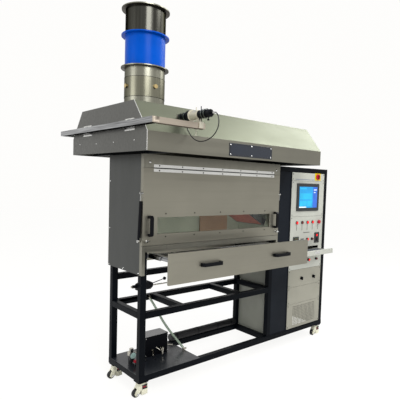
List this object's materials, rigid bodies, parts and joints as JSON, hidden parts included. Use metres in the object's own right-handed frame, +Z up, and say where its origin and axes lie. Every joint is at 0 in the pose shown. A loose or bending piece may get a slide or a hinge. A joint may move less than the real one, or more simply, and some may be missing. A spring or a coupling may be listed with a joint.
{
  "type": "flooring radiant panel fire tester",
  "caption": "Wheeled test stand: an enclosed chamber with window door and specimen drawer, tilted radiant burner, exhaust hood and duct with smoke meter, and a control cabinet",
  "frame": {"origin": "on the floor, under the centre of the whole part's box", "axes": "+X towards the control cabinet, +Y from the door to the back, +Z up"},
  "size_m": [2.51, 1.7949, 2.972],
  "materials": {
    "black_frame": "satin",
    "charcoal_sheet": "satin",
    "brushed_stainless": "brushed",
    "grey_steel": "satin",
    "liner_board": "matt",
    "polished_stainless": "polished",
    "blue_paint": "gloss",
    "window_glass": "clear",
    "black_plastic": "matt",
    "ivory_housing": "satin",
    "black_wheel": "matt",
    "steel": "turned",
    "ceramic_board": "matt",
    "black_sleeve": "matt",
    "optic_body": "anodised",
    "control_plate": "satin",
    "screen_glass": "gloss",
    "green_hose": "satin",
    "black_cable": "satin",
    "pump_case": "satin",
    "brass_fitting": "plated",
    "red_plastic": "gloss",
    "dark_red_plastic": "gloss",
    "black_grille": "matt",
    "panel_parts": "gloss"
  },
  "bodies": {
    "stand": {"base_frame": "black_frame", "base_tray": "charcoal_sheet", "cabinet_panels": "charcoal_sheet", "cable_sleeve": "black_sleeve", "ceramic_plate": "ceramic_board", "chamber_liner": "liner_board", "chamber_panels": "grey_steel", "control_plates": "control_plate", "duct_band": "blue_paint", "duct_sections": "polished_stainless", "front_surround": "brushed_stainless", "gas_fittings": "brass_fitting", "hinge_frame_leaf": "steel", "hood": "grey_steel", "lamp_cable": "black_cable", "lever_valve": "steel", "light_receiver": "optic_body", "light_source": "optic_body", "measuring_rail": "steel", "panel_fittings": "panel_parts", "pilot_burner": "steel", "pump_box": "pump_case", "radiant_housing": "steel", "slide_rails_fixed": "steel", "supply_hose": "green_hose", "touch_screen": "screen_glass", "upright_frame": "black_frame", "vent_grille": "black_grille"},
    "door": {"door_panel": "brushed_stainless", "door_glass": "window_glass", "door_handles": "black_plastic", "hinge_door_leaf": "steel"},
    "latch_left": {"latch_knob_left": "black_plastic"},
    "latch_right": {"latch_knob_right": "black_plastic"},
    "strut_tubes": {"strut_cylinders": "steel"},
    "strut_rods": {"strut_rods": "steel"},
    "drawer": {"drawer_front": "brushed_stainless", "drawer_handles": "black_plastic", "specimen_carriage": "steel"},
    "slide_middle": {"slide_rails_middle": "steel"},
    "valve_lever": {"valve_lever": "black_plastic"},
    "shutoff": {"shutoff_knob": "red_plastic"},
    "keyboard_tray": {"keyboard_tray": "control_plate"},
    "main_switch": {"main_switch_knob": "red_plastic"},
    "emergency_stop": {"emergency_stop": "red_plastic"},
    "start_button": {"start_button": "red_plastic"},
    "stop_button": {"stop_button": "dark_red_plastic"},
    "gas_button": {"gas_button": "red_plastic"},
    "air_button": {"air_button": "red_plastic"},
    "rocker": {"rocker_switch": "black_plastic"},
    "selector_left": {"selector_left": "black_plastic"},
    "selector_right": {"selector_right": "black_plastic"},
    "caster_front_left": {"caster_housing_front_left": "ivory_housing"},
    "wheel_front_left": {"caster_wheel_front_left": "black_wheel"},
    "caster_front_right": {"caster_housing_front_right": "ivory_housing"},
    "wheel_front_right": {"caster_wheel_front_right": "black_wheel"},
    "caster_back_left": {"caster_housing_back_left": "ivory_housing"},
    "wheel_back_left": {"caster_wheel_back_left": "black_wheel"},
    "caster_back_right": {"caster_housing_back_right": "ivory_housing"},
    "wheel_back_right": {"caster_wheel_back_right": "black_wheel"}
  },
  "joints": [
    {"name": "swivel_front_left", "type": "hinge", "parent": "stand", "child": "caster_front_left", "pos_m": [-0.979, -0.204, 0.1], "axis": [0, 0, 1], "continuous": true},
    {"name": "roll_front_left", "type": "hinge", "parent": "caster_front_left", "child": "wheel_front_left", "pos_m": [-1.025, -0.204, 0.031], "axis": [0, 1, 0], "continuous": true},
    {"name": "swivel_front_right", "type": "hinge", "parent": "stand", "child": "caster_front_right", "pos_m": [1.209, -0.204, 0.1], "axis": [0, 0, 1], "continuous": true},
    {"name": "roll_front_right", "type": "hinge", "parent": "caster_front_right", "child": "wheel_front_right", "pos_m": [1.163, -0.204, 0.031], "axis": [0, 1, 0], "continuous": true},
    {"name": "swivel_back_left", "type": "hinge", "parent": "stand", "child": "caster_back_left", "pos_m": [-0.979, 0.204, 0.1], "axis": [0, 0, 1], "continuous": true},
    {"name": "roll_back_left", "type": "hinge", "parent": "caster_back_left", "child": "wheel_back_left", "pos_m": [-1.025, 0.204, 0.031], "axis": [0, 1, 0], "continuous": true},
    {"name": "swivel_back_right", "type": "hinge", "parent": "stand", "child": "caster_back_right", "pos_m": [1.209, 0.204, 0.1], "axis": [0, 0, 1], "continuous": true},
    {"name": "roll_back_right", "type": "hinge", "parent": "caster_back_right", "child": "wheel_back_right", "pos_m": [1.163, 0.204, 0.031], "axis": [0, 1, 0], "continuous": true},
    {"name": "door_hinge", "type": "hinge", "parent": "stand", "child": "door", "pos_m": [-0.302, -0.29, 1.747], "axis": [-1, 0, 0], "range_deg": [0, 85]},
    {"name": "latch_left_turn", "type": "hinge", "parent": "door", "child": "latch_left", "pos_m": [-1.01, -0.286, 1.207], "axis": [0, -1, 0], "range_deg": [0, 90]},
    {"name": "latch_right_turn", "type": "hinge", "parent": "door", "child": "latch_right", "pos_m": [0.406, -0.286, 1.207], "axis": [0, -1, 0], "range_deg": [0, 90]},
    {"name": "strut_swing", "type": "hinge", "parent": "stand", "child": "strut_tubes", "pos_m": [-0.302, -0.254, 1.205], "axis": [1, 0, 0], "range_deg": [0, 19.43]},
    {"name": "strut_stroke", "type": "slide", "parent": "strut_tubes", "child": "strut_rods", "axis": [0, -0.0675, 0.9977], "range_m": [0, 0.2036]},
    {"name": "drawer_slide", "type": "slide", "parent": "stand", "child": "drawer", "axis": [0, 1, 0], "range_m": [-0.1, 0.343]},
    {"name": "slide_middle_run", "type": "slide", "parent": "stand", "child": "slide_middle", "axis": [0, 1, 0], "range_m": [-0.05, 0.1715]},
    {"name": "valve_lever_turn", "type": "hinge", "parent": "stand", "child": "valve_lever", "pos_m": [-0.907, -0.177, 0.862], "axis": [0, 1, 0], "range_deg": [-25, 30]},
    {"name": "shutoff_turn", "type": "hinge", "parent": "stand", "child": "shutoff", "pos_m": [-0.947, -0.054, 0.205], "axis": [0, 0, 1], "range_deg": [0, 90]},
    {"name": "keyboard_slide", "type": "slide", "parent": "stand", "child": "keyboard_tray", "axis": [0, 1, 0], "range_m": [-0.2, 0.135]},
    {"name": "main_switch_turn", "type": "hinge", "parent": "stand", "child": "main_switch", "pos_m": [1.083, -0.25, 1.75], "axis": [0, -1, 0], "range_deg": [-90, 0]},
    {"name": "emergency_stop_press", "type": "slide", "parent": "stand", "child": "emergency_stop", "axis": [0, 1, 0], "range_m": [0, 0.0037]},
    {"name": "start_button_press", "type": "slide", "parent": "stand", "child": "start_button", "axis": [0, 1, 0], "range_m": [0, 0.0037], "stiffness_N_per_m": 300},
    {"name": "stop_button_press", "type": "slide", "parent": "stand", "child": "stop_button", "axis": [0, 1, 0], "range_m": [0, 0.0037], "stiffness_N_per_m": 300},
    {"name": "gas_button_press", "type": "slide", "parent": "stand", "child": "gas_button", "axis": [0, 1, 0], "range_m": [0, 0.0037], "stiffness_N_per_m": 300},
    {"name": "air_button_press", "type": "slide", "parent": "stand", "child": "air_button", "axis": [0, 1, 0], "range_m": [0, 0.0037], "stiffness_N_per_m": 300},
    {"name": "rocker_tip", "type": "hinge", "parent": "stand", "child": "rocker", "pos_m": [1.107, -0.25, 1.082], "axis": [1, 0, 0], "range_deg": [-6, 6]},
    {"name": "selector_left_turn", "type": "hinge", "parent": "stand", "child": "selector_left", "pos_m": [0.872, -0.25, 0.686], "axis": [0, -1, 0], "range_deg": [-45, 45]},
    {"name": "selector_right_turn", "type": "hinge", "parent": "stand", "child": "selector_right", "pos_m": [1.074, -0.25, 0.682], "axis": [0, -1, 0], "range_deg": [-45, 45]}
  ],
  "couplings": [
    {"joint": "strut_swing", "follows": "door_hinge", "ratio": 0.2286},
    {"joint": "strut_stroke", "follows": "door_hinge", "m_per_rad": 0.1372},
    {"joint": "slide_middle_run", "follows": "drawer_slide", "ratio": 0.5}
  ]
}
